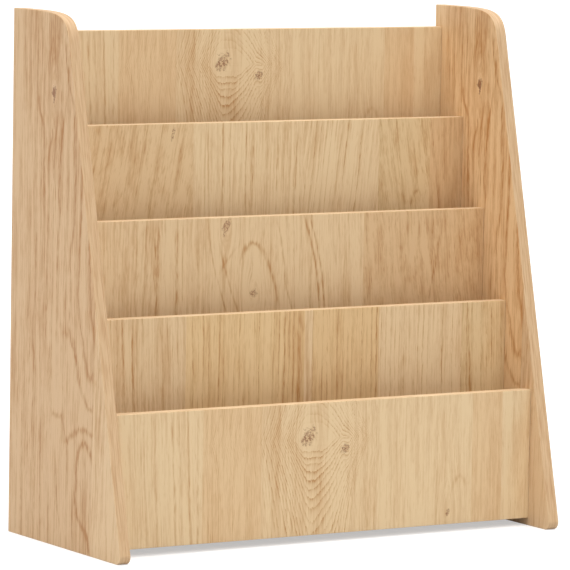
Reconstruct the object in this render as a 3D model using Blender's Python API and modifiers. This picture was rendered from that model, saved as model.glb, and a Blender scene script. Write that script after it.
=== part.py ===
"""Tiered kids bookcase: two sloping side panels that carry five cross boards, stepped forward and
down, with a floor board between each pair, so that four pockets show books face on.

Metres, +Z up. The front faces -Y, the origin is on the floor under the middle of the bookcase.
Boards are joined to the sides with cam locks and wooden dowels, which leaves the outer faces clean.
"""

import math

import bmesh
import bpy
from mathutils import Matrix, Vector

MM = 0.001

# Boards
WIDTH = 650 * MM
BOARD = 15 * MM
EDGE_EASE = 0.8 * MM
EASE_SEGMENTS = 2
GAP = 0.3 * MM

# Steps, from the floor up and from the rear edge forward
TOE_GAP = 10 * MM
POCKET_DEPTH = 153.5 * MM
FRONT_STEP_RISE = 110 * MM
STEP_RISE = 116.5 * MM
SIDE_CREST = 29 * MM
BACK_INSET = 1 * MM
STEP_DEPTH = 55 * MM
FRONT_STEP_DEPTH = 63 * MM

# Outline of the side panels
FRONT_REVEAL = 9 * MM
FRONT_LEAN = math.radians(13.2)
CREST_RUN = 98 * MM
CREST_DROP = 38 * MM
CREST_RUN_PULL = 0.85
CREST_DROP_PULL = 0.92
TOE_RADIUS = 10 * MM
OUTLINE_STEPS = 14

# Blind holes stop this far from the face behind them
SKIN = 4 * MM

# Cam locks: a disc in the rear face of a board holds the ball of a bolt in the side
CAM_RISE = 58 * MM
CAM_BACKSET = 24 * MM
CAM_SKIN = 3 * MM
CAM_RADIUS = 7.2 * MM
CAM_RECESS = 0.2 * MM
CAM_THROW = 0.5 * MM
CAM_DRIVE_LENGTH = 8 * MM
CAM_DRIVE_WIDTH = 1.6 * MM
CAM_DRIVE_DEPTH = 2 * MM
BALL_RADIUS = 2.6 * MM
BALL_OFFSET = 1.2 * MM
NECK_RADIUS = 1.5 * MM
NECK_PLAY = 0.4 * MM
SHANK_RADIUS = 3.2 * MM
SHANK_SETBACK = 1 * MM
THREAD_RADIUS = 2.5 * MM

# Wooden dowels
DOWEL_RADIUS = 4 * MM
DOWEL_BITE = 20 * MM
DOWEL_DROP = 40 * MM

# Countersunk screws through a board into the floor in front of it
SCREW_INSET = 150 * MM
SCREW_COVER = 15 * MM
SCREW_RADIUS = 2 * MM
SCREW_HEAD_RADIUS = 4 * MM
SCREW_HEAD_RECESS = 0.3 * MM
SCREW_TIP = 4 * MM
SCREW_DRIVE_RADIUS = 1.7 * MM
SCREW_DRIVE_DEPTH = 1.8 * MM

# Facets, and what the modelling steps go by
CAM_SEGMENTS = 24
HOLE_SEGMENTS = 12
TURN_STEPS = 12
BALL_POINTS = 5
SCREW_DRIVE_SIDES = 4
CUT_MARGIN = 1 * MM
MERGE_DISTANCE = 0.01 * MM
FLAT_ANGLE = math.radians(0.5)
SHARP_ANGLE = math.radians(40)
CORNER_ANGLE = math.radians(60)

# Finishes: colour, roughness, metallic
OAK = ((0.66, 0.46, 0.25), 0.5, 0)
BEECH = ((0.72, 0.55, 0.36), 0.7, 0)
ZINC = ((0.58, 0.58, 0.60), 0.45, 0.9)
STEEL = ((0.62, 0.61, 0.58), 0.35, 1)

TIER_NAMES = ("back_board", "upper_divider", "middle_divider", "lower_divider", "front_board")
POCKET_NAMES = ("top", "upper", "middle", "bottom")
SIDES = (("left", -1), ("right", 1))

# Sizes that follow from the ones above
STEPS = len(TIER_NAMES) - 1
RISES = [STEP_RISE] * (STEPS - 1) + [FRONT_STEP_RISE]
DEPTHS = [STEP_DEPTH] * (STEPS - 1) + [FRONT_STEP_DEPTH]
FRONT_TOP = TOE_GAP + BOARD + POCKET_DEPTH
TOPS = [FRONT_TOP + sum(RISES[i:]) for i in range(len(TIER_NAMES))]
FACES = [BACK_INSET + BOARD + sum(DEPTHS[:i]) for i in range(len(TIER_NAMES))]
BOTTOMS = [top - POCKET_DEPTH - BOARD for top in TOPS[1:]] + [TOE_GAP]
HEIGHT = TOPS[0] + SIDE_CREST
LEAN = math.tan(FRONT_LEAN)
FOOT_DEPTH = FACES[-1] + FRONT_REVEAL + FRONT_TOP * LEAN
DEPTH = FOOT_DEPTH - TOE_RADIUS * (LEAN + 1 / math.cos(FRONT_LEAN) - 1)
REAR = DEPTH / 2
INNER_HALF = WIDTH / 2 - BOARD
BOARD_LENGTH = 2 * (INNER_HALF - GAP)
BLIND = BOARD - SKIN
HOLE_RADIUS = DOWEL_RADIUS + GAP
CAM_BORE_RADIUS = CAM_RADIUS + GAP
CAM_BORE_DEPTH = BOARD - CAM_SKIN
CAM_CAVITY_RADIUS = BALL_OFFSET + CAM_THROW + BALL_RADIUS + GAP
SCREW_BITE = STEP_DEPTH - BOARD - SCREW_COVER
FLOOR_SCREW_X = BOARD_LENGTH / 2 - SCREW_INSET

TOWARDS_REAR = Matrix.Rotation(math.radians(-90), 4, "X")


def clear_scene():
    """Removes what the scene holds, so that only the bookcase is left at the end."""
    for obj in list(bpy.data.objects):
        bpy.data.objects.remove(obj)


def new_collection(name):
    """A collection of that name, linked to the scene."""
    collection = bpy.data.collections.new(name)
    bpy.context.scene.collection.children.link(collection)
    return collection


def finish_material(node, finish):
    """The material of one sub-part."""
    colour, roughness, metallic = finish
    material = bpy.data.materials.new(node + "_finish")
    material.use_nodes = True
    shader = material.node_tree.nodes["Principled BSDF"]
    shader.inputs["Base Color"].default_value = (*colour, 1)
    shader.inputs["Roughness"].default_value = roughness
    shader.inputs["Metallic"].default_value = metallic
    return material


def add_part(node, mesh, finish):
    """A sub-part that is carried by the bookcase's empty."""
    part = bpy.data.objects.new(node, mesh)
    mesh.materials.append(finish_material(node, finish))
    PARTS.objects.link(part)
    part.parent = ROOT
    return part


def mesh_from(name, bm):
    """The mesh of a finished bmesh."""
    mesh = bpy.data.meshes.new(name)
    bm.to_mesh(mesh)
    bm.free()
    return mesh


def box_mesh(name, size):
    """A box of that size, centred on its origin."""
    bm = bmesh.new()
    bmesh.ops.create_cube(bm, size=1, matrix=Matrix.Diagonal((*size, 1)))
    return mesh_from(name, bm)


def rod_mesh(name, radius, length, places, segments=HOLE_SEGMENTS):
    """Round rods, one for each place: a matrix that takes +Z from the rod's start to its axis."""
    bm = bmesh.new()
    for place in places:
        bmesh.ops.create_cone(
            bm,
            cap_ends=True,
            segments=segments,
            radius1=radius,
            radius2=radius,
            depth=length,
            matrix=place @ Matrix.Translation((0, 0, length / 2)),
        )
    return mesh_from(name, bm)


def cut(part, mesh, matrix=None):
    """Cuts a closed mesh, given in the frame of the bookcase, out of a part."""
    cutter = bpy.data.objects.new(mesh.name, mesh)
    if matrix is not None:
        cutter.matrix_world = matrix
    cutter.hide_render = True
    cutter.display_type = "WIRE"
    CUTTERS.objects.link(cutter)
    boolean = part.modifiers.new(mesh.name, "BOOLEAN")
    boolean.operation = "DIFFERENCE"
    boolean.solver = "EXACT"
    boolean.object = cutter


def aim(point, direction):
    """A matrix that moves +Z to a point and turns it to a direction along X or Y."""
    turn = Vector(direction).to_track_quat("Z", "Y").to_matrix().to_4x4()
    return Matrix.Translation(point) @ turn


def board_part(node, size, centre):
    """A board whose long edges, along X, are eased."""
    mesh = box_mesh(node, size)
    board = add_part(node, mesh, OAK)
    board.location = centre
    weights = mesh.attributes.new("bevel_weight_edge", "FLOAT", "EDGE")
    for edge in mesh.edges:
        start, end = (mesh.vertices[i].co for i in edge.vertices)
        weights.data[edge.index].value = float(abs(start.x - end.x) > EDGE_EASE)
    bevel = board.modifiers.new("eased_edges", "BEVEL")
    bevel.limit_method = "WEIGHT"
    bevel.width = EDGE_EASE
    bevel.segments = EASE_SEGMENTS
    return board


def turned_part(node, profile, finish):
    """A solid of revolution about Z. The profile of (radius, height) runs from its top to its foot."""
    bm = bmesh.new()
    points = [bm.verts.new((radius, 0, height)) for radius, height in profile]
    for upper, lower in zip(points, points[1:]):
        bm.edges.new((upper, lower))
    part = add_part(node, mesh_from(node, bm), finish)
    screw = part.modifiers.new("turned", "SCREW")
    screw.axis = "Z"
    screw.steps = TURN_STEPS
    screw.render_steps = TURN_STEPS
    screw.use_merge_vertices = True
    screw.merge_threshold = MERGE_DISTANCE
    return part


def side_outline():
    """Bezier points of a side panel as (point, left handle, right handle), rear edge at 0, front at -Y.
    A handle of None makes the edge on that side of the point straight."""
    corner = Vector((-(FOOT_DEPTH - HEIGHT * LEAN), HEIGHT))
    along_front = Vector((-LEAN, -1)).normalized()
    run = min(CREST_RUN, -corner.x - BOARD)
    crest_start = corner + Vector((run, 0))
    crest_end = corner + along_front * (CREST_DROP / math.cos(FRONT_LEAN))
    toe = Vector((-FOOT_DEPTH, 0))
    toe_run = TOE_RADIUS * math.tan((math.pi / 2 + FRONT_LEAN) / 2)
    toe_start = toe - along_front * toe_run
    toe_end = toe + Vector((toe_run, 0))
    toe_pull = 4 / 3 * math.tan((math.pi / 2 + FRONT_LEAN) / 4) * TOE_RADIUS
    return [
        (Vector((0, 0)), None, None),
        (Vector((0, HEIGHT)), None, None),
        (crest_start, None, crest_start.lerp(corner, CREST_RUN_PULL)),
        (crest_end, crest_end.lerp(corner, CREST_DROP_PULL), None),
        (toe_start, None, toe_start + along_front * toe_pull),
        (toe_end, toe_end - Vector((toe_pull, 0)), None),
    ]


def side_curve():
    """The side panel as a filled flat curve, extruded to its thickness."""
    curve = bpy.data.curves.new("side_outline", "CURVE")
    curve.dimensions = "2D"
    curve.fill_mode = "BOTH"
    curve.extrude = BOARD / 2
    curve.resolution_u = OUTLINE_STEPS
    curve.render_resolution_u = OUTLINE_STEPS
    spline = curve.splines.new("BEZIER")
    outline = side_outline()
    spline.bezier_points.add(len(outline) - 1)
    spline.use_cyclic_u = True
    for knot, (point, before, after) in zip(spline.bezier_points, outline):
        knot.co = (*point, 0)
        knot.handle_left_type = "FREE" if before else "VECTOR"
        knot.handle_right_type = "FREE" if after else "VECTOR"
        if before:
            knot.handle_left = (*before, 0)
        if after:
            knot.handle_right = (*after, 0)
    return curve


def side_panel(label, sign):
    """One side panel, with the blind holes for its bolts and dowels."""
    node = "side_panel_" + label
    outline = bpy.data.objects.new("outline_" + label, side_curve())
    PARTS.objects.link(outline)
    outline.location = (sign * (WIDTH - BOARD) / 2, REAR, 0)
    outline.rotation_euler = (math.pi / 2, 0, math.pi / 2)
    bpy.context.view_layer.update()
    evaluated = outline.evaluated_get(bpy.context.evaluated_depsgraph_get())
    mesh = bpy.data.meshes.new_from_object(evaluated)
    mesh.name = node
    bm = bmesh.new()
    bm.from_mesh(mesh)
    bmesh.ops.remove_doubles(bm, verts=bm.verts, dist=MERGE_DISTANCE)
    bmesh.ops.dissolve_limit(bm, angle_limit=FLAT_ANGLE, verts=bm.verts, edges=bm.edges)
    bm.to_mesh(mesh)
    bm.free()
    panel = add_part(node, mesh, OAK)
    panel.matrix_world = outline.matrix_world.copy()
    bpy.data.objects.remove(outline)
    bevel = panel.modifiers.new("eased_edges", "BEVEL")
    bevel.limit_method = "ANGLE"
    bevel.angle_limit = CORNER_ANGLE
    bevel.width = EDGE_EASE
    bevel.segments = EASE_SEGMENTS
    start = sign * (INNER_HALF - CUT_MARGIN)
    reach = BLIND + CUT_MARGIN
    outwards = (sign, 0, 0)
    bolt_holes = [aim((start, tier_middle(i), cam_height(i)), outwards) for i in range(len(TIER_NAMES))]
    dowel_holes = [aim((start, tier_middle(i), dowel_height(i)), outwards) for i in range(len(TIER_NAMES))]
    dowel_holes += [aim((start, floor_middle(i), floor_height(i)), outwards) for i in range(STEPS)]
    cut(panel, rod_mesh("bolt_holes_" + label, THREAD_RADIUS + GAP, reach, bolt_holes))
    cut(panel, rod_mesh("dowel_holes_" + label, HOLE_RADIUS, reach, dowel_holes))


def tier_middle(tier):
    """Y of the middle of a cross board's thickness."""
    return REAR - FACES[tier] + BOARD / 2


def cam_height(tier):
    """Z of a cross board's cam locks."""
    return BOTTOMS[tier] + CAM_RISE


def dowel_height(tier):
    """Z of a cross board's end dowels."""
    return TOPS[tier] - DOWEL_DROP


def floor_middle(pocket):
    """Y of the middle of a pocket's floor, between the boards behind and in front of it."""
    return REAR - FACES[pocket] - (DEPTHS[pocket] - BOARD) / 2


def floor_height(pocket):
    """Z of the middle of a pocket floor's thickness."""
    return BOTTOMS[pocket] + BOARD / 2


def cross_board(tier):
    """One of the five upright boards, with its bores for cams, bolts, dowels and screws."""
    node = TIER_NAMES[tier]
    middle = tier_middle(tier)
    rear_face = middle + BOARD / 2
    height = TOPS[tier] - BOTTOMS[tier]
    size = (BOARD_LENGTH, BOARD, height)
    board = board_part(node, size, (0, middle, BOTTOMS[tier] + height / 2))
    end = BOARD_LENGTH / 2 + CUT_MARGIN
    cam_x = INNER_HALF - CAM_BACKSET
    bores = [aim((sign * cam_x, rear_face + CUT_MARGIN, cam_height(tier)), (0, -1, 0)) for _, sign in SIDES]
    shanks = [aim((sign * end, middle, cam_height(tier)), (-sign, 0, 0)) for _, sign in SIDES]
    dowels = [aim((sign * end, middle, dowel_height(tier)), (-sign, 0, 0)) for _, sign in SIDES]
    shank_reach = end - cam_x
    bore_reach = CAM_BORE_DEPTH + CUT_MARGIN
    dowel_reach = DOWEL_BITE + 2 * GAP + CUT_MARGIN
    cut(board, rod_mesh(node + "_cam_bores", CAM_BORE_RADIUS, bore_reach, bores, CAM_SEGMENTS))
    cut(board, rod_mesh(node + "_bolt_bores", SHANK_RADIUS + GAP, shank_reach, shanks))
    cut(board, rod_mesh(node + "_dowel_holes", HOLE_RADIUS, dowel_reach, dowels))
    if tier < STEPS:
        cut_screw_holes(board, node, rear_face, floor_height(tier))


def cut_screw_holes(board, node, rear_face, height):
    """Clearance holes through a board, with a countersink in its rear face."""
    radius = SCREW_RADIUS + GAP
    mouth = SCREW_HEAD_RADIUS + SCREW_HEAD_RECESS + 2 * GAP
    places = [aim((sign * FLOOR_SCREW_X, rear_face + CUT_MARGIN, height), (0, -1, 0)) for _, sign in SIDES]
    cut(board, rod_mesh(node + "_screw_holes", radius, BOARD + 2 * CUT_MARGIN, places))
    sink_depth = mouth - radius
    bm = bmesh.new()
    for place in places:
        bmesh.ops.create_cone(
            bm,
            cap_ends=True,
            segments=HOLE_SEGMENTS,
            radius1=mouth + CUT_MARGIN,
            radius2=radius,
            depth=sink_depth + CUT_MARGIN,
            matrix=place @ Matrix.Translation((0, 0, (sink_depth + CUT_MARGIN) / 2)),
        )
    cut(board, mesh_from(node + "_countersinks", bm))


def pocket_floor(pocket):
    """The floor of one pocket, with holes for its end dowels and rear screws."""
    node = "pocket_floor_" + POCKET_NAMES[pocket]
    depth = DEPTHS[pocket] - BOARD - 2 * GAP
    middle = floor_middle(pocket)
    board = board_part(node, (BOARD_LENGTH, depth, BOARD), (0, middle, floor_height(pocket)))
    end = BOARD_LENGTH / 2 + CUT_MARGIN
    rear = middle + depth / 2 + CUT_MARGIN
    height = floor_height(pocket)
    ends = [aim((sign * end, middle, height), (-sign, 0, 0)) for _, sign in SIDES]
    pilots = [aim((sign * FLOOR_SCREW_X, rear, height), (0, -1, 0)) for _, sign in SIDES]
    reach = DOWEL_BITE + 2 * GAP + CUT_MARGIN
    cut(board, rod_mesh(node + "_dowel_holes", HOLE_RADIUS, reach, ends))
    pilot_reach = SCREW_BITE + GAP + CUT_MARGIN
    cut(board, rod_mesh(node + "_screw_holes", SCREW_RADIUS + GAP, pilot_reach, pilots))


def end_dowel(node, sign, middle, height):
    """A dowel that joins the end of a board to a side panel."""
    start = aim((sign * (INNER_HALF + BLIND - GAP), middle, height), (-sign, 0, 0))
    dowel = add_part(node, rod_mesh(node, DOWEL_RADIUS, BLIND + DOWEL_BITE, [Matrix()]), BEECH)
    dowel.matrix_world = start
    smooth(dowel)


def smooth(part):
    """Shades a round piece smooth, with its end faces sharp."""
    part.data.shade_smooth()
    part.data.set_sharp_from_angle(angle=SHARP_ANGLE)


def cam_disc(tier, label, sign):
    """The disc that turns in a board's bore. Its Z is the bore's axis, out of the rear face, and its X
    points along the bolt to the side panel."""
    node = TIER_NAMES[tier] + "_cam_" + label
    top = BOARD / 2 - CAM_RECESS
    foot = BOARD / 2 - CAM_BORE_DEPTH + GAP
    body = rod_mesh(node, CAM_RADIUS, top - foot, [Matrix.Translation((0, 0, foot))], CAM_SEGMENTS)
    disc = add_part(node, body, ZINC)
    place = Matrix(((sign, 0, 0, 0), (0, 0, 1, 0), (0, -sign, 0, 0), (0, 0, 0, 1)))
    centre = (sign * (INNER_HALF - CAM_BACKSET), tier_middle(tier), cam_height(tier))
    disc.matrix_world = Matrix.Translation(centre) @ place
    world = disc.matrix_world.copy()
    roof = BALL_RADIUS + GAP
    beyond = CAM_RADIUS + CUT_MARGIN
    cavity_foot = foot - CUT_MARGIN
    cavity_place = Matrix.Translation((-CAM_THROW, 0, cavity_foot))
    cavity = rod_mesh(node + "_cavity", CAM_CAVITY_RADIUS, roof - cavity_foot, [cavity_place], CAM_SEGMENTS)
    cut(disc, cavity, world)
    slot_half = NECK_RADIUS + NECK_PLAY
    slot = box_mesh(node + "_slot", (2 * beyond, beyond + slot_half, 2 * slot_half))
    cut(disc, slot, world @ Matrix.Translation((0, (slot_half - beyond) / 2, 0)))
    mouth = box_mesh(node + "_mouth", (beyond, 2 * roof, roof - cavity_foot))
    cut(disc, mouth, world @ Matrix.Translation((-beyond / 2, 0, (roof + cavity_foot) / 2)))
    blade_size = (CAM_DRIVE_LENGTH, CAM_DRIVE_WIDTH, 2 * CAM_DRIVE_DEPTH)
    for turn in (0, math.pi / 2):
        blade = box_mesh(node + "_drive", blade_size)
        cut(disc, blade, world @ Matrix.Translation((0, 0, top)) @ Matrix.Rotation(turn, 4, "Z"))
    smooth(disc)


def cam_bolt(tier, label, sign):
    """The bolt that is screwed into a side panel and reaches into the cam. Its Z points to its ball."""
    node = TIER_NAMES[tier] + "_bolt_" + label
    ball_centre = CAM_BACKSET - BALL_OFFSET
    neck_angle = math.pi - math.asin(NECK_RADIUS / BALL_RADIUS)
    angles = [neck_angle * i / BALL_POINTS for i in range(BALL_POINTS + 1)]
    profile = [(BALL_RADIUS * math.sin(a), ball_centre + BALL_RADIUS * math.cos(a)) for a in angles]
    shank_end = CAM_BACKSET - CAM_BORE_RADIUS - SHANK_SETBACK
    profile += [
        (NECK_RADIUS, shank_end),
        (SHANK_RADIUS, shank_end),
        (SHANK_RADIUS, GAP),
        (THREAD_RADIUS, GAP),
        (THREAD_RADIUS, GAP - BLIND),
        (0, GAP - BLIND),
    ]
    bolt = turned_part(node, profile, STEEL)
    place = aim((sign * INNER_HALF, tier_middle(tier), cam_height(tier)), (-sign, 0, 0))
    bolt.matrix_world = place


def floor_screw(pocket, label, sign):
    """A screw through the board behind a pocket into the pocket's floor. Its Z points out of its head."""
    node = "pocket_floor_" + POCKET_NAMES[pocket] + "_screw_" + label
    neck = SCREW_HEAD_RECESS + SCREW_HEAD_RADIUS - SCREW_RADIUS
    length = BOARD + GAP + SCREW_BITE
    profile = [
        (0, -SCREW_HEAD_RECESS),
        (SCREW_HEAD_RADIUS, -SCREW_HEAD_RECESS),
        (SCREW_RADIUS, -neck),
        (SCREW_RADIUS, SCREW_TIP - length),
        (0, -length),
    ]
    screw = turned_part(node, profile, STEEL)
    rear_face = tier_middle(pocket) + BOARD / 2
    head = Vector((sign * FLOOR_SCREW_X, rear_face, floor_height(pocket)))
    screw.matrix_world = Matrix.Translation(head) @ TOWARDS_REAR
    bm = bmesh.new()
    bmesh.ops.create_cone(
        bm,
        cap_ends=True,
        segments=SCREW_DRIVE_SIDES,
        radius1=0,
        radius2=2 * SCREW_DRIVE_RADIUS,
        depth=2 * SCREW_DRIVE_DEPTH,
        matrix=Matrix.Translation((0, 0, -SCREW_HEAD_RECESS)),
    )
    cut(screw, mesh_from(node + "_drive", bm), screw.matrix_world.copy())


clear_scene()
PARTS = new_collection("kids_bookcase")
CUTTERS = new_collection("cutters")
ROOT = bpy.data.objects.new("kids_bookcase", None)
PARTS.objects.link(ROOT)

for side_label, side_sign in SIDES:
    side_panel(side_label, side_sign)

for tier_index, tier_name in enumerate(TIER_NAMES):
    cross_board(tier_index)
    for side_label, side_sign in SIDES:
        dowel_name = tier_name + "_dowel_" + side_label
        end_dowel(dowel_name, side_sign, tier_middle(tier_index), dowel_height(tier_index))
        cam_disc(tier_index, side_label, side_sign)
        cam_bolt(tier_index, side_label, side_sign)

for pocket_index, pocket_name in enumerate(POCKET_NAMES):
    pocket_floor(pocket_index)
    for side_label, side_sign in SIDES:
        dowel_name = "pocket_floor_" + pocket_name + "_dowel_" + side_label
        end_dowel(dowel_name, side_sign, floor_middle(pocket_index), floor_height(pocket_index))
        floor_screw(pocket_index, side_label, side_sign)
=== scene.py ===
"""Looks of the tiered kids bookcase: oak decor on its boards, zinc and steel fittings, floor, light and
camera. Metres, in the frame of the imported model. The figure of the wood is worked out in millimetres.
"""

import math
from collections import namedtuple

import bmesh
import bpy
from mathutils import Matrix, Vector


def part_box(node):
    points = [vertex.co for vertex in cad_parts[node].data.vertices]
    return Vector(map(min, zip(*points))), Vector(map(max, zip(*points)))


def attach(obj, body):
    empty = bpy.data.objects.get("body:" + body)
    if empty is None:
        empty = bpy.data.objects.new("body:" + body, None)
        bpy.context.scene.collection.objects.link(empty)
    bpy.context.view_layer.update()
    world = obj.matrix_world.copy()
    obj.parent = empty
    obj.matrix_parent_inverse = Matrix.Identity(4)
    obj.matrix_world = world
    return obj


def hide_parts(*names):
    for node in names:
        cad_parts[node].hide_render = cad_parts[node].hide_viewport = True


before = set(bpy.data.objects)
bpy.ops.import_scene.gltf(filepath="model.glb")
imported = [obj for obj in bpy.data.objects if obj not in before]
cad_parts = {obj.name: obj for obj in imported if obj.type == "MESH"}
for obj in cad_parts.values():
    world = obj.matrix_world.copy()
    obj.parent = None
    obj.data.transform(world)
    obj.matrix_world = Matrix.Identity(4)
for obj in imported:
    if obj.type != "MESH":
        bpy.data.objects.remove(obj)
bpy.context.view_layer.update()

MM = 0.001
PER_METRE = 1000

# Camera of the photograph
EYE = Vector((-2.941664, -4.804728, 0.908335))
YAW = math.radians(31.41537)
PITCH = math.radians(5.98981)
ROLL = math.radians(1.00767)
LENS = 280.054
SENSOR = 36
VIEW_END = 200

# Floor and light. A light has its power, tilt and turn, in degrees
WHITE = (1, 1, 1)
FLOOR_HALF = 60
FLOOR_COLOUR = (0.60, 0.60, 0.60)
FLOOR_GLOW = 0.48
AMBIENT = 0.20
AMBIENT_COLOUR = (1.0, 0.97, 0.93)
LIGHT_SPREAD = math.radians(40)
LIGHTS = (
    ("top_light", 1.50, 0, 0),
    ("front_light", 1.33, 50, 0),
    ("left_light", 1.40, 55, -90),
    ("right_light", 1.10, 50, 90),
)

# Outline of the side panels, as the solids have it
FRONT_LEAN = math.radians(13.2)
CREST_RUN = 98 * MM
CREST_DROP = 38 * MM
CREST_RUN_PULL = 0.85
CREST_DROP_PULL = 0.92
TOE_RADIUS = 10 * MM
PANEL_EASE = 1.0 * MM
PANEL_EASE_SEGMENTS = 4
PANEL_STEPS = 48
HOLE_GAP = 0.3 * MM
HOLE_SEGMENTS = 32
CORNER_ANGLE = math.radians(60)
SHARP_ANGLE = math.radians(35)
FLAT_ANGLE = math.radians(0.1)
MERGE_DISTANCE = 0.01 * MM

# Nodes of the boards, from the back to the front
TIERS = ("back_board", "upper_divider", "middle_divider", "lower_divider", "front_board")
FLOORS = ("pocket_floor_top", "pocket_floor_upper", "pocket_floor_middle", "pocket_floor_bottom")
SIDES = (("left", -1), ("right", 1))

# Oak decor tones, linear colour
PALE = (0.750, 0.560, 0.328)
SAND = (0.722, 0.525, 0.303)
ROSE = (0.724, 0.512, 0.285)
BROWN = (0.705, 0.500, 0.275)
AMBER = (0.712, 0.500, 0.258)
HONEY = (0.688, 0.470, 0.236)
WHEAT = (0.695, 0.508, 0.278)
TAN = (0.660, 0.446, 0.238)
SIDE_BROWN = (0.660, 0.450, 0.256)
SIDE_PALE = (0.715, 0.510, 0.298)
BOARD_EDGE = (0.735, 0.555, 0.345)
SIDE_EDGE = (0.630, 0.432, 0.246)
# Plank tones for the inner faces of the side panels: painted light and shade, the brown lighter and the
# pale darker than on the outer faces
INNER_PALE_SHADED = (0.665, 0.470, 0.278)
INNER_BROWN_LIT = (0.735, 0.497, 0.270)
DARK_TINT = (0.62, 0.42, 0.23)
SOFT_TINT = (0.65, 0.45, 0.28)
KNOT_COLOUR = (0.270, 0.115, 0.045)

# Tones of the fittings, light and dark, and the roughness of the metals
BEECH = ((0.78, 0.60, 0.40), (0.60, 0.43, 0.26))
CAST_ZINC = ((0.66, 0.66, 0.68), (0.46, 0.46, 0.48), 0.42)
PLATED_STEEL = ((0.72, 0.71, 0.68), (0.52, 0.51, 0.48), 0.3)
YELLOW_ZINC = ((0.78, 0.70, 0.48), (0.56, 0.50, 0.36), 0.3)

# A layer of noise: its size across and along the grain, gain, what it adds to the seed, detail, roughness
Layer = namedtuple("Layer", "across along gain shift detail roughness", defaults=(1, 0, 2, 0.5))
SWAY = Layer(150, 420, gain=4)
BEND = Layer(38, 150, gain=1.5, shift=7)
WOBBLE = Layer(12, 55, gain=3, shift=3, detail=3)
RAGGED = Layer(5, 6, gain=2.8, shift=2, detail=3, roughness=0.7)
SERRATION = Layer(1.6, 14, gain=2.2, shift=5, detail=1)
JAG = Layer(5, 40, gain=10, shift=6, detail=1)
BOWL_JAG = Layer(8, 14, gain=4, shift=4.7, detail=1)
BREAK = Layer(1.5, 15, shift=9)
STREAK = Layer(15, 520, gain=1.2, detail=3)
BOARD_FIBRE = Layer(2.6, 85, detail=4, roughness=0.7)
SIDE_FIBRE = Layer(4.5, 85, detail=4, roughness=0.7)
DASH = Layer(1.8, 13, roughness=0.6)
BLOTCH = Layer(13, 38, gain=1.2)
PORE = Layer(1.0, 16)
CLOUD = Layer(60, 140, gain=0.5)
SCRATCH = Layer(3.2, 4.2, shift=4, roughness=0.6)
STRAND = Layer(1.8, 60, gain=2.2, shift=31, detail=3, roughness=0.7)
BEECH_GRAIN = Layer(0.8, 12, shift=2.5, detail=3)
METAL_CLOUD = Layer(2.2, 2.2, shift=6.5, detail=4, roughness=0.65)
METAL_GRIT = Layer(0.25, 0.25, shift=8.5)

# How far the decor reaches to both sides, and how a plank's traits are kept between 0 and 1
BOARD_REACH = 310
SIDE_REACH = 150
LINE_SHARE = 0.5
LEAN_MIDDLE = 0.5
NUMBER_SHARE = 0.1
SEED_STEP = 31

# Growth rings: how their distance drifts, how bold each is, how it fades along the grain and breaks up
LINE_WIDTH = 1.2
DRIFT_LENGTH = 24
DRIFT_SEED = 0.5
DRIFT_GAIN = 0.9
BOLD_RANGE = 0.7
BOLD_LEAST = 0.3
FADE_STEP = 3.7
FADE_LENGTH = 90
FADE_GAIN = 2.6
FADE_MEAN = 1.6
BREAK_TURN = 0.16
BREAK_GAIN = 1.1
BREAK_LEAST = 0.45

# How far the grain and single lines follow the wobble, over what length lines fade, and where they end
WOBBLE_SHARE = 0.6
SERRATION_SHARE = 0.4
ARCH_WOBBLE = 2
STROKE_FADE = 30
TRAIL_FADE = 25
ARCH_FADE = 8
STROKE_LOW = -300
STROKE_HIGH = 10

# Length over which the slope of a line is measured
SLOPE_RUN = 3

# Where marks begin and are full, how dark each is, and where a face turns to an edge or inwards
KNOT_RIM = (1.25, 0.7)
SCRIBBLE_TURN = (0.07, 0.015)
DASH_TURN = (-0.02, 0.2)
PORE_TURN = (0.02, 0.2)
LINE_DEPTH = 0.85
FIBRE_DEPTH = 1.7
PORE_DEPTH = 0.2
DASH_DEPTH = 0.3
BASE_DEPTH = 0.05
SCRIBBLE_DEPTH = 0.75
EDGE_DEPTH = 0.22
EDGE_TURN = (0.55, 0.8)
INNER_TURN = 0.1

# Gloss and relief of the oak decor, the beech and the metals. A relief has its height and its strength
OAK_ROUGHNESS = 0.55
PORE_ROUGHNESS = 0.08
FIBRE_ROUGHNESS = 0.15
RELIEF_SHARE = 0.5
OAK_RELIEF = (0.00012, 0.3)
BEECH_ROUGHNESS = 0.65
BEECH_GLOSS_CHANGE = 0.2
BEECH_RELIEF = (0.0001, 0.4)
METAL_TONE_CHANGE = 1.6
METAL_GLOSS_CHANGE = 0.3
METAL_RELIEF = (0.00004, 0.3)

# Middle of what a noise gives
MIDDLE = 0.5


class Term:
    """A number that a material's nodes work out. Arithmetic on it adds Math nodes."""

    def __init__(self, shader, socket):
        self.shader = shader
        self.socket = socket

    def __add__(self, other):
        return self.shader.math("ADD", self, other)

    def __sub__(self, other):
        return self.shader.math("SUBTRACT", self, other)

    def __rsub__(self, other):
        return self.shader.math("SUBTRACT", other, self)

    def __mul__(self, other):
        return self.shader.math("MULTIPLY", self, other)

    def __truediv__(self, other):
        return self.shader.math("DIVIDE", self, other)

    def __pow__(self, other):
        return self.shader.math("POWER", self, other)

    __radd__ = __add__
    __rmul__ = __mul__


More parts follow.
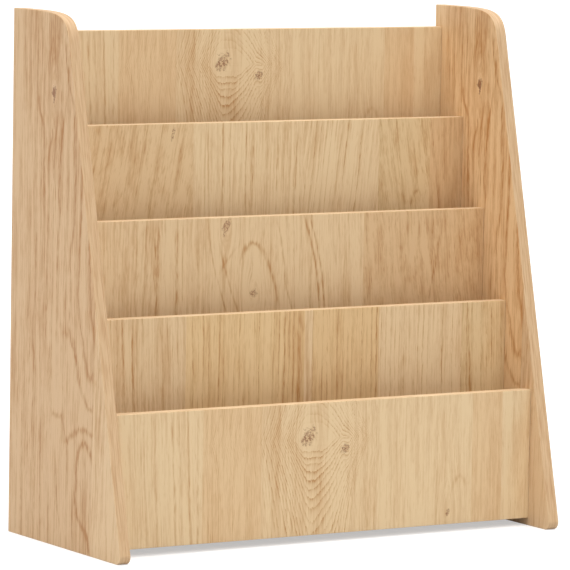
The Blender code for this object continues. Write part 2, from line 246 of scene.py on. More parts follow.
class Shader:
    """One material and the nodes that are added to it."""

    def __init__(self, name):
        self.material = bpy.data.materials.new(name)
        self.material.use_nodes = True
        self.tree = self.material.node_tree
        self.surface = self.tree.nodes["Principled BSDF"]
        self.place = self.node("ShaderNodeTexCoord")

    def node(self, kind, **settings):
        made = self.tree.nodes.new(kind)
        for name, value in settings.items():
            setattr(made, name, value)
        return made

    def feed(self, socket, value):
        """Links a Term or a socket to an input, or sets the input to a number or colour."""
        if isinstance(value, Term):
            value = value.socket
        if isinstance(value, bpy.types.NodeSocket):
            self.tree.links.new(value, socket)
        else:
            socket.default_value = value

    def coat(self, **values):
        """Feeds inputs of the surface, each by its name."""
        for name, value in values.items():
            self.feed(self.surface.inputs[name.replace("_", " ").title()], value)

    def math(self, operation, *values):
        node = self.node("ShaderNodeMath", operation=operation)
        for socket, value in zip(node.inputs, values):
            self.feed(socket, value)
        return Term(self, node.outputs[0])

    def parts(self, output):
        """X, Y and Z of one of the texture coordinates."""
        return self.separate(self.place.outputs[output])

    def separate(self, socket):
        """The three numbers of a colour or vector."""
        node = self.node("ShaderNodeSeparateXYZ")
        self.feed(node.inputs[0], socket)
        return [Term(self, output) for output in node.outputs]

    def noise(self, across, along, seed, detail=2, roughness=0.5):
        """Smooth noise about 0, of unit size in both directions."""
        place = self.node("ShaderNodeCombineXYZ")
        for socket, value in zip(place.inputs, (across, along, seed)):
            self.feed(socket, value)
        node = self.node("ShaderNodeTexNoise")
        self.feed(node.inputs["Vector"], place.outputs[0])
        self.feed(node.inputs["Scale"], 1.0)
        self.feed(node.inputs["Detail"], detail)
        self.feed(node.inputs["Roughness"], roughness)
        return Term(self, node.outputs["Fac"]) - MIDDLE

    def layer(self, layer, across, along, seed=0, scale=1):
        """A layer of noise, its gain scaled."""
        if layer.shift:
            seed = seed + layer.shift
        place = (across / layer.across, along / layer.along, seed)
        value = self.noise(*place, layer.detail, layer.roughness)
        gain = layer.gain * scale
        return value if gain == 1 else value * gain

    def chance(self, value):
        """A number from 0 to 1 that has nothing to do with its neighbours'."""
        node = self.node("ShaderNodeTexWhiteNoise", noise_dimensions="1D")
        self.feed(node.inputs["W"], value)
        return Term(self, node.outputs["Value"])

    def step(self, value, low, high):
        """0 at low, 1 at high, with a soft rise between."""
        node = self.node("ShaderNodeMapRange", interpolation_type="SMOOTHSTEP")
        self.feed(node.inputs["Value"], value)
        self.feed(node.inputs["From Min"], low)
        self.feed(node.inputs["From Max"], high)
        return Term(self, node.outputs["Result"])

    def window(self, value, low, high, fade):
        """1 between two ends, falling off softly within them."""
        return self.step(value, low, low + fade) * self.step(value, high, high - fade)

    def curve(self, value, points):
        """A smooth line through points (value, result)."""
        low, high = points[0][0], points[-1][0]
        base = min(result for _, result in points)
        span = max(result for _, result in points) - base
        spots = [((place - low) / (high - low), (result - base) / span) for place, result in points]
        node = self.node("ShaderNodeFloatCurve")
        self.feed(node.inputs["Value"], (value - low) / (high - low))
        line = node.mapping.curves[0]
        line.points[0].location = spots[0]
        line.points[1].location = spots[-1]
        for spot in spots[1:-1]:
            line.points.new(*spot)
        node.mapping.update()
        return Term(self, node.outputs[0]) * span + base

    def mix(self, factor, first, second, blend="MIX"):
        """A colour between two, as a socket."""
        node = self.node("ShaderNodeMix", data_type="RGBA", blend_type=blend)
        colours = [socket for socket in node.inputs if socket.type == "RGBA"]
        self.feed(node.inputs["Factor"], factor)
        for socket, colour in zip(colours, (first, second)):
            self.feed(socket, colour if isinstance(colour, bpy.types.NodeSocket) else (*colour, 1))
        return next(socket for socket in node.outputs if socket.type == "RGBA")

    def strips(self, value, low, high, stops):
        """Strips of even colour across a stretch from low to high, as the ramp's colour and alpha."""
        node = self.node("ShaderNodeValToRGB")
        self.feed(node.inputs["Fac"], (value - low) / (high - low))
        ramp = node.color_ramp
        ramp.interpolation = "CONSTANT"
        while len(ramp.elements) > len(stops):
            ramp.elements.remove(ramp.elements[-1])
        while len(ramp.elements) < len(stops):
            ramp.elements.new(1)
        for element, (start, colour) in zip(ramp.elements, stops):
            element.position = max(start - low, 0) / (high - low)
            element.color = colour
        return node.outputs["Color"], Term(self, node.outputs["Alpha"])

    def bump(self, height, distance, strength):
        node = self.node("ShaderNodeBump")
        self.feed(node.inputs["Height"], height)
        self.feed(node.inputs["Distance"], distance)
        self.feed(node.inputs["Strength"], strength)
        self.feed(self.surface.inputs["Normal"], node.outputs["Normal"])


def plain_rings(shader, across, along, wave):
    """Upright growth rings. A ring function gives the rings and their strength."""
    return across + wave, 1


def cathedral_rings(shader, across, along, wave):
    """Rings that part round a pair of knots and meet below them in bowls and then in nested points."""
    middle, level, reach, crown, seam, bend = -27, -46, 115, 0.45, 74, 1.3
    left_gap, left_scale = 12, 1.5
    right_gap, right_scale, right_end, right_bend, right_rise = 26, 0.6, 60, 4, 30
    hollow_depth, far_depth, stretch = 30, 120, 0.66
    inner_start, inner_end, inner_least = 4, 18, 0.2
    outer_start, outer_end, outer_least = 110, 70, 0.45
    under_gain, over_loss, mean = 0.2, 0.9, 1.2

    place = across + wave - middle
    fall = shader.math("MAXIMUM", level - along + shader.layer(BOWL_JAG, across, along), 0)
    rise = shader.math("MAXIMUM", along - level, 0)
    hollow = shader.math("EXPONENT", (fall + rise) / -hollow_depth)
    left = shader.math("MAXIMUM", place * -1 - hollow * left_gap, 0) * left_scale
    right = shader.math("MAXIMUM", place - hollow * right_gap, 0)
    beside = left + right * right_scale + (right / right_end) ** right_bend * right_rise

    inside = shader.math("MAXIMUM", 1 - (beside / reach) ** 2, 0)
    inside = inside * shader.math("LESS_THAN", across, seam)
    below = (1 - shader.math("EXPONENT", fall / -far_depth)) * (far_depth * stretch)
    under = below ** bend * inside
    over = (rise * crown) ** bend * inside
    total = beside ** bend + under + over
    rings = total ** (1 / bend)

    inner = shader.step(rings, inner_start, inner_end) * (1 - inner_least) + inner_least
    outer = shader.step(rings, outer_start, outer_end) * (1 - outer_least) + outer_least
    return rings, inner * outer * ((under * under_gain - over * over_loss) / (total + 1) + mean)


# A plank of the decor, from where it starts: tone, weight of its rings, lean of its grain, flecks
Plank = namedtuple("Plank", "start tone line lean fleck")

# A knot: middle, half sizes, how far it pushes the grain and over what half sizes, lean, share filled
Knot = namedtuple("Knot", "across along width height push wide high lean fill", defaults=(0.25, 0.2))

# A single dark line along the grain: its place at 0, half width, depth, lean, bow, lower and upper end
Stroke = namedtuple(
    "Stroke", "across width depth lean bow low high", defaults=(0, 0, STROKE_LOW, STROKE_HIGH)
)

# A single arched dark line: its top, how fast it falls, half width, depth, and its ends across the grain
Arch = namedtuple("Arch", "across along bow width depth low high")

# A single dark line through points (along, across), or for a ridge (across, along), in rising order
Trail = namedtuple("Trail", "width depth points")

# The figure of one decor. The inner tones are lighter or darker copies of its plank tones for the faces
# that look inwards: painted light and shade
Figure = namedtuple(
    "Figure",
    "seed ring wave planks rings fibre contrast edge seam_lean dark inner "
    "knots strokes arches trails ridges",
    defaults=(plain_rings, BOARD_FIBRE, 1, BOARD_EDGE, 0, DARK_TINT, None, (), (), (), (), ()),
)

KNOTTED = Figure(
    seed=1.3, ring=4.6, wave=3, rings=cathedral_rings, contrast=0.75, dark=SOFT_TINT,
    planks=[
        Plank(-BOARD_REACH, PALE, 0.2, 0.04, 0.3), Plank(-182, ROSE, 1.1, 0, 0.2),
        Plank(-98, PALE, 1.25, 0, 0.2), Plank(74, PALE, 0.2, 0, 0.3),
        Plank(218, ROSE, 0.35, 0, 0.4), Plank(265, PALE, 0.35, 0, 0.4),
    ],
    knots=[
        Knot(-28, -43, 9, 11, 8, 26, 30), Knot(26.5, -60.5, 5.5, 7, 9, 16, 22),
        Knot(184, -154, 2.5, 5, 8, 18, 40),
    ],
    strokes=[
        Stroke(-268, 1.8, 0.35, -0.042), Stroke(-252, 1.5, 0.35, -0.042), Stroke(-227, 1.6, 0.50, -0.045),
        Stroke(-217, 1.3, 0.30, -0.04), Stroke(-205, 1.6, 0.50, -0.045), Stroke(-190, 1.6, 0.45, -0.02),
        Stroke(118, 1.5, 0.20), Stroke(166, 1.6, 0.20), Stroke(73, 2.0, 0.15),
        Stroke(-148, 32, 0.13, low=-400, high=100), Stroke(62, 12, 0.13, low=-400, high=100),
    ],
    arches=[Arch(201, -107, 0.12, 2.0, 0.30, 186, 216)],
)
STRIPED = Figure(
    seed=5.9, ring=8.2, wave=4,
    planks=[
        Plank(-BOARD_REACH, BROWN, 0.5, -0.15, 1), Plank(-102, PALE, 0.6, 0, 0.3),
        Plank(62, PALE, 1, -0.1, 0.3), Plank(178.7, WHEAT, 0.9, 0.14, 1), Plank(259, TAN, 0.6, 0.05, 0.7),
    ],
    knots=[Knot(-132, -14, 2, 9, 0, 10, 10)],
    strokes=[
        Stroke(-80, 1.1, 0.45, -0.02), Stroke(-59, 1.1, 0.50, -0.02), Stroke(-47, 1.0, 0.45),
        Stroke(-23, 1.1, 0.60), Stroke(-13, 1.0, 0.55), Stroke(25, 1.2, 0.60, 0.02),
        Stroke(55, 1.1, 0.50, 0.04), Stroke(259, 2.4, 0.50, -0.14),
    ],
    arches=[Arch(240, -96, 0.18, 2.2, 0.45, 226, 252)],
)
ARCHED = Figure(
    seed=8.2, ring=8.5, wave=6,
    planks=[
        Plank(-BOARD_REACH, SAND, 0.4, 0, 0.6), Plank(-172, SAND, 0.55, 0.03, 0.4),
        Plank(122.6, TAN, 0.35, 0.08, 1),
    ],
    knots=[Knot(-83, -11, 5, 12, 8, 22, 34), Knot(-42, -99, 5, 6, 10, 16, 26)],
    strokes=[
        Stroke(-214, 1.6, 0.50), Stroke(-184, 5.0, 0.55, 0.01), Stroke(-155, 1.4, 0.50),
        Stroke(-147, 1.2, 0.30), Stroke(31.6, 1.8, 0.80, -0.383, -0.00139),
        Stroke(39.5, 1.6, 0.65, -0.37, -0.0013), Stroke(249, 2.0, 0.40, 0.2, high=-10),
    ],
    arches=[Arch(-43, -34, 0.052, 2.2, 0.60, -64, 0)],
    trails=[
        Trail(1.4, 0.45, [(-170, -62), (-120, -82), (-97, -90), (-57, -102), (10, -112)]),
        Trail(1.4, 0.40, [(-150, -52), (-107, -70), (-57, -87), (-20, -96)]),
        Trail(1.5, 0.50, [(-180, 28), (-117, 15), (-87, 6), (-57, 2), (-17, -5), (0, -16)]),
        Trail(2.2, 0.35, [(-80, -98), (-58, -84), (-44, -72), (-28, -58)]),
    ],
)
BANDED = Figure(
    seed=12.4, ring=7.4, wave=3,
    planks=[
        Plank(-BOARD_REACH, SAND, 0.8, 0.02, 0.4), Plank(-172, AMBER, 1.0, 0, 0.4),
        Plank(-102, AMBER, 1.2, 0, 0.4), Plank(-25, HONEY, 1.2, 0, 0.5), Plank(2, SAND, 0.5, 0, 0.3),
        Plank(14, HONEY, 1.2, 0, 0.5), Plank(112, SAND, 1.0, 0, 0.4), Plank(240, WHEAT, 1.2, 0, 0.6),
    ],
    strokes=[
        Stroke(-265, 1.6, 0.55, -0.06), Stroke(-251, 1.6, 0.55, -0.05), Stroke(-235, 1.5, 0.40, -0.04),
        Stroke(-208, 1.4, 0.30, -0.03), Stroke(-28, 1.6, 0.40), Stroke(-5, 2.4, 0.40),
        Stroke(60, 1.5, 0.35), Stroke(111, 1.6, 0.50), Stroke(250, 2.0, 0.65, -0.06),
    ],
)
SIDE_FIGURE = Figure(
    seed=3.1, ring=5.6, wave=4, fibre=SIDE_FIBRE, contrast=1.3, edge=SIDE_EDGE, seam_lean=0.0167,
    planks=[Plank(-SIDE_REACH, SIDE_PALE, 0.7, 0.043, 0.2), Plank(-70.5, SIDE_BROWN, 0.8, 0, 0.3)],
    # inner tones: painted light and shade on the faces that look inwards
    inner=(INNER_PALE_SHADED, INNER_BROWN_LIT),
    knots=[
        Knot(37, 567, 5, 6, 7, 14, 40, lean=0, fill=0.85),
        Knot(37, 558, 2, 5, 0, 14, 40, lean=0, fill=0.6),
    ],
    strokes=[
        Stroke(26, 1.6, 0.25, low=595, high=655), Stroke(104, 1.5, 0.35, low=340, high=540),
        Stroke(118, 1.5, 0.35, low=250, high=380), Stroke(105, 8, 0.18, low=70, high=180),
        Stroke(53, 9, 0.20, low=0, high=180), Stroke(54, 8, 0.15, low=240, high=460),
        Stroke(39, 1.8, 0.35, low=-20, high=60), Stroke(98, 1.6, 0.35, low=240, high=310),
        Stroke(112, 2.2, 0.35, low=-20, high=170), Stroke(98, 2.2, 0.35, low=-20, high=150),
        Stroke(78, 2.2, 0.40, low=-20, high=130), Stroke(62, 2.2, 0.30, low=-20, high=160),
        Stroke(126, 2.2, 0.25, low=-20, high=200), Stroke(-50, 15, 0.20, low=-60, high=170),
        Stroke(27, 32, 0.24, low=400, high=690), Stroke(12, 34, 0.14, low=180, high=420),
    ],
    arches=[
        Arch(-53, 138, 0.05, 3.0, 0.75, -76, -28), Arch(-66, 221, -0.095, 3.4, 0.75, -76, -36),
        Arch(-66, 183, -0.039, 3.0, 0.70, -76, -20),
    ],
    trails=[
        Trail(2.4, 0.77, [
            (420, 60), (445, 59.5), (490, 60), (515, 61.5), (530, 66.5), (548, 75), (575, 79),
        ]),
        Trail(2.0, 0.47, [(450, 50), (475, 49.5), (492, 48), (510, 41), (535, 35)]),
        Trail(2.4, 0.56, [(450, 36), (485, 34), (505, 32), (522, 28.5), (540, 24), (560, 21)]),
        Trail(2.2, 0.60, [
            (330, 24), (367, 23), (395, 22), (417, 18.5), (440, 21), (465, 19.5), (490, 17), (510, 14.5),
            (532, 10.5), (548, 7), (570, 2),
        ]),
        Trail(1.8, 0.26, [(575, 31), (587, 33), (602, 37), (617, 38.5), (640, 39.5), (660, 40)]),
        Trail(1.8, 0.28, [(585, 57), (600, 53), (612, 48), (625, 43), (645, 40)]),
        Trail(2.4, 0.60, [
            (215, -40), (242, -27), (268, -13), (290, -9), (325, -12), (365, -10.5), (400, -18),
            (440, -20), (500, -19), (552, -13), (580, -2), (622, 7), (650, 12),
        ]),
        Trail(2.4, 0.39, [(560, -1), (600, -1), (625, -4), (650, -7)]),
        Trail(2.4, 0.65, [
            (262, -45), (285, -38), (300, -35.5), (325, -32), (362, -33), (387, -34), (420, -37.5),
            (470, -38), (490, -37), (512, -33), (540, -29),
        ]),
        Trail(3.0, 0.69, [
            (250, -77), (285, -70.5), (300, -65.5), (337, -61), (385, -58), (407, -56), (435, -54),
        ]),
        Trail(2.0, 0.43, [(250, 52), (277, 51), (310, 49.5), (365, 50.5), (390, 49), (425, 47)]),
        Trail(2.0, 0.43, [
            (200, 81), (235, 82), (260, 87), (285, 84.5), (310, 81), (342, 80.5), (377, 79.5), (410, 79),
        ]),
        Trail(3.2, 0.73, [
            (-15, -70), (5, -67), (20, -62), (38, -43), (50, -33.5), (67, -28.5), (85, -32), (110, -32),
            (135, -37),
        ]),
        Trail(2.0, 0.43, [(-10, 4), (20, 8), (35, 11), (52, 17), (80, 20), (115, 22)]),
    ],
    ridges=[
        Trail(4.2, 0.65, [
            (-80, 149), (-60, 152.5), (-50, 155), (-38, 152.5), (-23, 147), (-13, 142), (-5.5, 136),
            (-0.5, 141), (3, 152), (8, 163), (22, 165), (38, 169),
        ]),
        Trail(6.5, 0.36, [(-30, 248), (-15, 262), (-3, 270), (6, 272), (18, 279)]),
    ],
)
FLOOR_FIGURE = Figure(seed=17.7, ring=7.0, wave=4, planks=[Plank(-SIDE_REACH, HONEY, 0.5, 0, 0.5)])
TIER_FIGURES = (KNOTTED, STRIPED, ARCHED, BANDED, KNOTTED)


def plank_traits(shader, figure, reach, slanted):
    """Tone, weight of the rings, lean of the grain, seed and flecks of the plank at each point."""
    tones = [(plank.start, (*plank.tone, 1)) for plank in figure.planks]
    tone = shader.strips(slanted, -reach, reach, tones)[0]
    # On the inner faces of a side panel the tones are swapped for copies with painted light and shade
    if figure.inner:
        inner_painted_tones = [(plank.start, (*inner, 1)) for plank, inner in zip(figure.planks, figure.inner)]
        inner_painted_tone = shader.strips(slanted, -reach, reach, inner_painted_tones)[0]
        tone = shader.mix(painted_light_faces(shader), tone, inner_painted_tone)
    traits = []
    for count, plank in enumerate(figure.planks):
        shares = (plank.line * LINE_SHARE, plank.lean + LEAN_MIDDLE, count * NUMBER_SHARE, plank.fleck)
        traits.append((plank.start, shares))
    trait, fleck = shader.strips(slanted, -reach, reach, traits)
    weight, lean, number = shader.separate(trait)
    return tone, weight, lean - LEAN_MIDDLE, number * SEED_STEP + figure.seed, fleck


def part_at_knots(shader, figure, across, along, wave):
    """The wave of the grain with the knots' push added, and the knots' outlines, plain and as filled."""
    ragged = shader.layer(RAGGED, across, along, figure.seed)
    core = 0
    filled = 0
    for knot in figure.knots:
        beside = across - knot.across
        above = along - knot.along
        near = shader.math("EXPONENT", ((beside / knot.wide) ** 2 + (above / knot.high) ** 2) * -1)
        wave = wave - shader.math("TANH", beside / knot.width) * near * knot.push
        leaning = beside - above * knot.lean
        away = ((leaning / knot.width) ** 2 + (above / knot.height) ** 2) ** 0.5 + ragged
        inside = shader.step(away, *KNOT_RIM)
        core = inside + core
        filled = inside * knot.fill + filled
    return wave, core, filled


def ring_lines(shader, figure, along, rings, serration, seed):
    """A dark line at each growth ring, as bold as its number has it, that fades in and out."""
    drift = shader.noise(rings / DRIFT_LENGTH, seed, DRIFT_SEED) * DRIFT_GAIN
    count = (rings + serration) / figure.ring + drift
    number = shader.math("FLOOR", count)
    bold = shader.chance(number + figure.seed) * BOLD_RANGE + BOLD_LEAST
    fade = shader.noise(number * FADE_STEP, along / FADE_LENGTH, seed) * FADE_GAIN + FADE_MEAN
    line = shader.math("EXPONENT", shader.math("FRACT", count) * (-figure.ring / LINE_WIDTH))
    return line * bold * fade


def soft_line(shader, square, ends, depth):
    """A dark line, from the square of the distance to its middle in half widths."""
    return shader.math("EXPONENT", square * -1) * ends * depth


def drawn_lines(shader, figure, across, along, wobble, jag):
    """The single lines and arches of a figure, as a depth."""
    total = 0
    for stroke in figure.strokes:
        path = (along * stroke.bow + stroke.lean) * along + stroke.across
        off = (across - path + wobble) / stroke.width
        ends = shader.window(along, stroke.low, stroke.high, STROKE_FADE)
        total = soft_line(shader, off * off, ends, stroke.depth) + total
    lift = wobble * ARCH_WOBBLE + jag
    for arch in figure.arches:
        beside = across - arch.across
        steep = shader.math("ABSOLUTE", beside) * (2 * abs(arch.bow)) + 1
        off = (along - arch.along + beside * beside * arch.bow + lift) / arch.width / steep
        ends = shader.window(across, arch.low, arch.high, ARCH_FADE)
        total = soft_line(shader, off * off, ends, arch.depth) + total
    upright = (along, across, wobble, TRAIL_FADE, figure.trails)
    level = (across, along, lift, ARCH_FADE, figure.ridges)
    for way, other, shift, fade, trails in (upright, level):
        for trail in trails:
            path = shader.curve(way, trail.points)
            slope = (shader.curve(way + SLOPE_RUN, trail.points) - path) / SLOPE_RUN
            off = (other - path + shift) / trail.width
            ends = shader.window(way, trail.points[0][0], trail.points[-1][0], fade)
            total = soft_line(shader, off * off / (slope * slope + 1), ends, trail.depth) + total
    return total


def edge_colour(shader, figure, edge_across, edge_along):
    """The edge band, with fine strands."""
    strand = shader.layer(STRAND, edge_across, edge_along, figure.seed)
    dark = [part * tint for part, tint in zip(figure.edge, DARK_TINT)]
    return shader.mix(shader.math("MAXIMUM", strand + EDGE_DEPTH, 0), figure.edge, dark)


def oak(name, figure, reach, coordinates):
    """Printed oak decor. The coordinates function gives, from place and normal, the way across and along
    the grain on the faces, the share of a point that is edge, and the ways across and along an edge."""
    shader = Shader(name)
    across, along, edge, edge_across, edge_along = coordinates(shader)
    slanted = across + along * figure.seam_lean
    tone, weight, lean, seed, fleck = plank_traits(shader, figure, reach, slanted)

    wobble = shader.layer(WOBBLE, across, along, figure.seed)
    wave = shader.layer(SWAY, across, along, figure.seed, figure.wave)
    wave = wave + shader.layer(BEND, across, along, figure.seed, figure.wave)
    wave = wave + lean * along + wobble * WOBBLE_SHARE
    wave, core, filled = part_at_knots(shader, figure, across, along, wave)
    grain = across + wave

    serration = shader.layer(SERRATION, grain, along, figure.seed)
    jag = shader.layer(JAG, grain, along, figure.seed)
    rings, strength = figure.rings(shader, across, along, wave)
    line = ring_lines(shader, figure, along, rings, serration, seed) * weight * strength
    drawn = drawn_lines(shader, figure, across, along, wobble + serration * SERRATION_SHARE, jag)
    whole = shader.step(shader.layer(BREAK, grain, along, figure.seed), -BREAK_TURN, BREAK_TURN)
    line = (line + drawn) * (whole * BREAK_GAIN + BREAK_LEAST)

    streak = shader.layer(STREAK, grain, along, seed)
    fibre = shader.layer(figure.fibre, grain, along, seed)
    cloud = shader.layer(CLOUD, across, along, seed)
    blotch = shader.layer(BLOTCH, across, along, seed)
    dash = shader.step(shader.layer(DASH, grain, along, seed), *DASH_TURN)
    pore = shader.step(shader.layer(PORE, grain, along, seed), *PORE_TURN)
    depth = line * LINE_DEPTH + (streak + fibre * FIBRE_DEPTH + cloud) * figure.contrast
    depth = depth + pore * PORE_DEPTH + BASE_DEPTH + (dash * DASH_DEPTH + blotch) * fleck
    depth = shader.math("MINIMUM", shader.math("MAXIMUM", depth, 0), 1)
    face = shader.mix(depth, tone, shader.mix(1.0, tone, figure.dark, "MULTIPLY"))
    if figure.knots:
        scratch = shader.math("ABSOLUTE", shader.layer(SCRATCH, across, along, figure.seed))
        scribble = core * shader.step(scratch, *SCRIBBLE_TURN) * SCRIBBLE_DEPTH
        face = shader.mix(scribble + filled, face, KNOT_COLOUR)

    shader.coat(
        base_color=shader.mix(edge, face, edge_colour(shader, figure, edge_across, edge_along)),
        roughness=pore * PORE_ROUGHNESS + fibre * FIBRE_ROUGHNESS + OAK_ROUGHNESS,
    )
    shader.bump(fibre * RELIEF_SHARE - pore * RELIEF_SHARE, *OAK_RELIEF)
    return shader.material


def tier_coordinates(top):
    """Grain of a cross board runs upright, measured from its top edge, and lengthways on its edges."""

    def coordinates(shader):
        x, y, z = shader.parts("Object")
        edge = shader.step(shader.math("ABSOLUTE", shader.parts("Normal")[2]), *EDGE_TURN)
        return x * PER_METRE, (z - top) * PER_METRE, edge, y * PER_METRE, x * PER_METRE

    return coordinates


def side_coordinates(shader):
    """Grain of a side panel runs upright, and along its edges."""
    x, y, z = shader.parts("Object")
    edge = shader.step(shader.math("ABSOLUTE", shader.parts("Normal")[0]), *reversed(EDGE_TURN))
    return y * PER_METRE, z * PER_METRE, edge, x * PER_METRE, (y + z) * PER_METRE


def painted_light_faces(shader):
    """1 on the faces of the side panels that look at each other, where the plank tones carry painted
    light and shade, 0 on their outer faces.
    """
    outwards = shader.parts("Normal")[0] * shader.parts("Object")[0]
    return shader.step(outwards, INNER_TURN, -INNER_TURN)


def floor_coordinates(shader):
    """Grain of a pocket floor runs lengthways."""
    x, y, z = shader.parts("Object")
    edge = shader.step(shader.math("ABSOLUTE", shader.parts("Normal")[1]), *EDGE_TURN)
    return y * PER_METRE, x * PER_METRE, edge, z * PER_METRE, x * PER_METRE


def turned_wood(name, light, dark):
    """Plain beech of the dowels, grain along X."""
    shader = Shader(name)
    x, y, z = [part * PER_METRE for part in shader.parts("Object")]
    grain = shader.layer(BEECH_GRAIN, y + z, x)
    shader.coat(
        base_color=shader.mix(grain + MIDDLE, light, dark),
        roughness=grain * BEECH_GLOSS_CHANGE + BEECH_ROUGHNESS,
    )
    shader.bump(grain, *BEECH_RELIEF)
    return shader.material


def metal(name, light, dark, roughness):
    """Cast or plated metal with a fine clouded surface."""
    shader = Shader(name)
    x, y, z = [part * PER_METRE for part in shader.parts("Object")]
    cloud = shader.layer(METAL_CLOUD, x, y + z)
    shader.coat(
        base_color=shader.mix(cloud * METAL_TONE_CHANGE + MIDDLE, light, dark),
        roughness=cloud * METAL_GLOSS_CHANGE + roughness,
        metallic=1.0,
    )
    shader.bump(shader.layer(METAL_GRIT, x, y + z), *METAL_RELIEF)
    return shader.material


def finish_node(node, material):
    """Gives a node of the frame one material."""
    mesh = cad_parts[node].data
    mesh.materials.clear()
    mesh.materials.append(material)


def panel_outline(depth, height):
    """Bezier points of a side panel as (point, left handle, right handle), rear edge at 0, front at -Y.
    A handle of None makes the edge on that side of the point straight."""
    lean = math.tan(FRONT_LEAN)
    foot = depth + TOE_RADIUS * (lean + 1 / math.cos(FRONT_LEAN) - 1)
    corner = Vector((-(foot - height * lean), height))
    along_front = Vector((-lean, -1)).normalized()
    crest_start = corner + Vector((CREST_RUN, 0))
    crest_end = corner + along_front * (CREST_DROP / math.cos(FRONT_LEAN))
    toe = Vector((-foot, 0))
    turn = math.pi / 2 + FRONT_LEAN
    toe_run = TOE_RADIUS * math.tan(turn / 2)
    toe_start = toe - along_front * toe_run
    toe_end = toe + Vector((toe_run, 0))
    toe_pull = 4 / 3 * math.tan(turn / 4) * TOE_RADIUS
    return [
        (Vector((0, 0)), None, None),
        (Vector((0, height)), None, None),
        (crest_start, None, crest_start.lerp(corner, CREST_RUN_PULL)),
        (crest_end, crest_end.lerp(corner, CREST_DROP_PULL), None),
        (toe_start, None, toe_start + along_front * toe_pull),
        (toe_end, toe_end - Vector((toe_pull, 0)), None),
    ]


def panel_curve(depth, height, thickness):
    """The side panel as a filled flat curve, extruded to its thickness."""
    curve = bpy.data.curves.new("panel_outline", "CURVE")
    curve.dimensions = "2D"
    curve.fill_mode = "BOTH"
    curve.extrude = thickness / 2
    curve.resolution_u = PANEL_STEPS
    outline = panel_outline(depth, height)
    spline = curve.splines.new("BEZIER")
    spline.bezier_points.add(len(outline) - 1)
    spline.use_cyclic_u = True
    for knot, (point, before, after) in zip(spline.bezier_points, outline):
        knot.co = (*point, 0)
        knot.handle_left_type = "FREE" if before else "VECTOR"
        knot.handle_right_type = "FREE" if after else "VECTOR"
        if before:
            knot.handle_left = (*before, 0)
        if after:
            knot.handle_right = (*after, 0)
    return curve


def evaluated_mesh(obj):
    """The mesh that an object's curve and modifiers make."""
    bpy.context.view_layer.update()
    return bpy.data.meshes.new_from_object(obj.evaluated_get(bpy.context.evaluated_depsgraph_get()))


def add_object(name, data):
    obj = bpy.data.objects.new(name, data)
    bpy.context.scene.collection.objects.link(obj)
    return obj


def thread_radius(node):
    """Radius of the end of a dowel or bolt that is in the side panel."""
    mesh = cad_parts[node].data
    outer = max(abs(vertex.co.x) for vertex in mesh.vertices)
    low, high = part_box(node)
    middle = (low + high) / 2
    rim = [vertex.co for vertex in mesh.vertices if outer - abs(vertex.co.x) < MERGE_DISTANCE]
    return max(math.hypot(point.y - middle.y, point.z - middle.z) for point in rim)


def hole_cutter(label, low, high, inwards):
    """The blind holes of one side panel, round the dowels and bolts that are in it."""
    bm = bmesh.new()
    reach = high.x - low.x
    turn = Matrix.Rotation(math.pi / 2, 4, "Y")
    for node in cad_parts:
        if not node.endswith(("_dowel_" + label, "_bolt_" + label)):
            continue
        pin_low, pin_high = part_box(node)
        middle = (pin_low + pin_high) / 2
        radius = thread_radius(node) + HOLE_GAP
        if inwards > 0:
            bottom = max(pin_low.x, low.x) - HOLE_GAP
        else:
            bottom = min(pin_high.x, high.x) + HOLE_GAP
        place = Vector((bottom + inwards * reach, middle.y, middle.z))
        bmesh.ops.create_cone(
            bm,
            cap_ends=True,
            segments=HOLE_SEGMENTS,
            radius1=radius,
            radius2=radius,
            depth=2 * reach,
            matrix=Matrix.Translation(place) @ turn,
        )
    mesh = bpy.data.meshes.new("panel_holes_" + label)
    bm.to_mesh(mesh)
    bm.free()
    return add_object("panel_holes_" + label, mesh)


def flat_panel(label, low, high):
    """A side panel with a fine outline, in place, before its edges are eased."""
    outline = add_object("outline_" + label, panel_curve(high.y - low.y, high.z - low.z, high.x - low.x))
    outline.location = ((low.x + high.x) / 2, high.y, low.z)
    outline.rotation_euler = (math.pi / 2, 0, math.pi / 2)
    mesh = evaluated_mesh(outline)
    mesh.transform(outline.matrix_world)
    bpy.data.objects.remove(outline)
    bm = bmesh.new()
    bm.from_mesh(mesh)
    bmesh.ops.remove_doubles(bm, verts=bm.verts, dist=MERGE_DISTANCE)
    bmesh.ops.dissolve_limit(bm, angle_limit=FLAT_ANGLE, verts=bm.verts, edges=bm.edges)
    bm.to_mesh(mesh)
    bm.free()
    return add_object("draft_" + label, mesh)


def side_panel(label, sign, material):
    """A side panel with a fine outline, soft edges and its blind holes."""
    node = "side_panel_" + label
    low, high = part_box(node)
    draft = flat_panel(label, low, high)
    bevel = draft.modifiers.new("eased_edges", "BEVEL")
    bevel.limit_method = "ANGLE"
    bevel.angle_limit = CORNER_ANGLE
    bevel.width = PANEL_EASE
    bevel.segments = PANEL_EASE_SEGMENTS
    cutter = hole_cutter(label, low, high, -sign)
    holes = draft.modifiers.new("holes", "BOOLEAN")
    holes.operation = "DIFFERENCE"
    holes.solver = "EXACT"
    holes.object = cutter
    shape = evaluated_mesh(draft)
    bpy.data.objects.remove(draft)
    bpy.data.objects.remove(cutter)
    shape.shade_smooth()
    shape.set_sharp_from_angle(angle=SHARP_ANGLE)
    shape.materials.clear()
    shape.materials.append(material)
    panel = add_object("panel_" + label, shape)
    normals = panel.modifiers.new("face_normals", "WEIGHTED_NORMAL")
    normals.keep_sharp = True
    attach(panel, "carcass")
    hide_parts(node)


def background_share(tree):
    """1 where the camera, a reflection or glass sees a surface itself, and 0 where it lights others."""
    path = tree.nodes.new("ShaderNodeLightPath")
    total = path.outputs["Is Camera Ray"]
    for kind in ("Is Glossy Ray", "Is Transmission Ray"):
        add = tree.nodes.new("ShaderNodeMath")
        add.operation = "ADD"
        add.use_clamp = True
        tree.links.new(total, add.inputs[0])
        tree.links.new(path.outputs[kind], add.inputs[1])
        total = add.outputs[0]
    return total


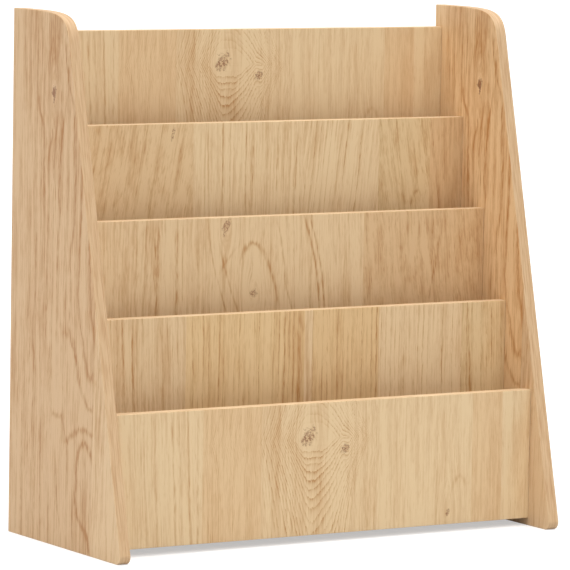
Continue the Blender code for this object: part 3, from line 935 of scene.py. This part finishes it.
def white_floor():
    """A pale floor that takes the shadow and looks white beyond it."""
    mesh = bpy.data.meshes.new("floor")
    bm = bmesh.new()
    bmesh.ops.create_grid(bm, x_segments=1, y_segments=1, size=FLOOR_HALF)
    bm.to_mesh(mesh)
    bm.free()
    floor = add_object("floor", mesh)
    material = bpy.data.materials.new("floor_paper")
    material.use_nodes = True
    tree = material.node_tree
    tree.nodes.clear()
    output = tree.nodes.new("ShaderNodeOutputMaterial")
    paper = tree.nodes.new("ShaderNodeBsdfDiffuse")
    paper.inputs["Color"].default_value = (*FLOOR_COLOUR, 1)
    glow = tree.nodes.new("ShaderNodeEmission")
    glow.inputs["Color"].default_value = (*WHITE, 1)
    strength = tree.nodes.new("ShaderNodeMath")
    strength.operation = "MULTIPLY"
    strength.inputs[1].default_value = FLOOR_GLOW
    tree.links.new(background_share(tree), strength.inputs[0])
    tree.links.new(strength.outputs[0], glow.inputs["Strength"])
    both = tree.nodes.new("ShaderNodeAddShader")
    tree.links.new(paper.outputs[0], both.inputs[0])
    tree.links.new(glow.outputs[0], both.inputs[1])
    tree.links.new(both.outputs[0], output.inputs["Surface"])
    mesh.materials.append(material)


def studio_world():
    """Even white surroundings, seen at strength 1 and lighting at less."""
    world = bpy.data.worlds.new("studio")
    bpy.context.scene.world = world
    world.use_nodes = True
    tree = world.node_tree
    ambient = tree.nodes["Background"]
    ambient.inputs["Color"].default_value = (*AMBIENT_COLOUR, 1)
    ambient.inputs["Strength"].default_value = AMBIENT
    white = tree.nodes.new("ShaderNodeBackground")
    white.inputs["Color"].default_value = (*WHITE, 1)
    seen = tree.nodes.new("ShaderNodeMixShader")
    tree.links.new(background_share(tree), seen.inputs["Fac"])
    tree.links.new(ambient.outputs[0], seen.inputs[1])
    tree.links.new(white.outputs[0], seen.inputs[2])
    tree.links.new(seen.outputs[0], tree.nodes["World Output"].inputs["Surface"])


def soft_lights():
    """Broad, soft lights from above, the front and both sides."""
    for name, power, tilt, turn in LIGHTS:
        lamp = bpy.data.lights.new(name, "SUN")
        lamp.energy = power
        lamp.angle = LIGHT_SPREAD
        light = add_object(name, lamp)
        light.rotation_euler = (math.radians(tilt), 0, math.radians(turn))


def photo_camera():
    """The camera of the photograph."""
    ahead = math.cos(PITCH)
    forward = Vector((math.sin(YAW) * ahead, math.cos(YAW) * ahead, -math.sin(PITCH)))
    level_right = forward.cross(Vector((0, 0, 1))).normalized()
    level_up = level_right.cross(forward)
    right = math.cos(ROLL) * level_right + math.sin(ROLL) * level_up
    up = math.cos(ROLL) * level_up - math.sin(ROLL) * level_right
    data = bpy.data.cameras.new("photo_camera")
    data.sensor_width = SENSOR
    data.lens = LENS
    data.clip_end = VIEW_END
    camera = add_object("photo_camera", data)
    turn = Matrix((right, up, -forward)).transposed().to_4x4()
    camera.matrix_world = Matrix.Translation(EYE) @ turn
    bpy.context.scene.camera = camera


panel_wood = oak("side_oak", SIDE_FIGURE, SIDE_REACH, side_coordinates)
for side_label, side_sign in SIDES:
    side_panel(side_label, side_sign, panel_wood)

for tier, tier_figure in zip(TIERS, TIER_FIGURES):
    tier_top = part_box(tier)[1].z
    finish_node(tier, oak(tier + "_oak", tier_figure, BOARD_REACH, tier_coordinates(tier_top)))

floor_wood = oak("floor_oak", FLOOR_FIGURE, SIDE_REACH, floor_coordinates)
for floor_node in FLOORS:
    finish_node(floor_node, floor_wood)

fittings = {
    "_dowel_": turned_wood("beech", *BEECH),
    "_cam_": metal("cast_zinc", *CAST_ZINC),
    "_bolt_": metal("plated_steel", *PLATED_STEEL),
    "_screw_": metal("yellow_zinc", *YELLOW_ZINC),
}
for node_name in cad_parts:
    for word, fitting_material in fittings.items():
        if word in node_name:
            finish_node(node_name, fitting_material)

white_floor()
studio_world()
soft_lights()
photo_camera()
bpy.context.scene.view_settings.view_transform = "Standard"
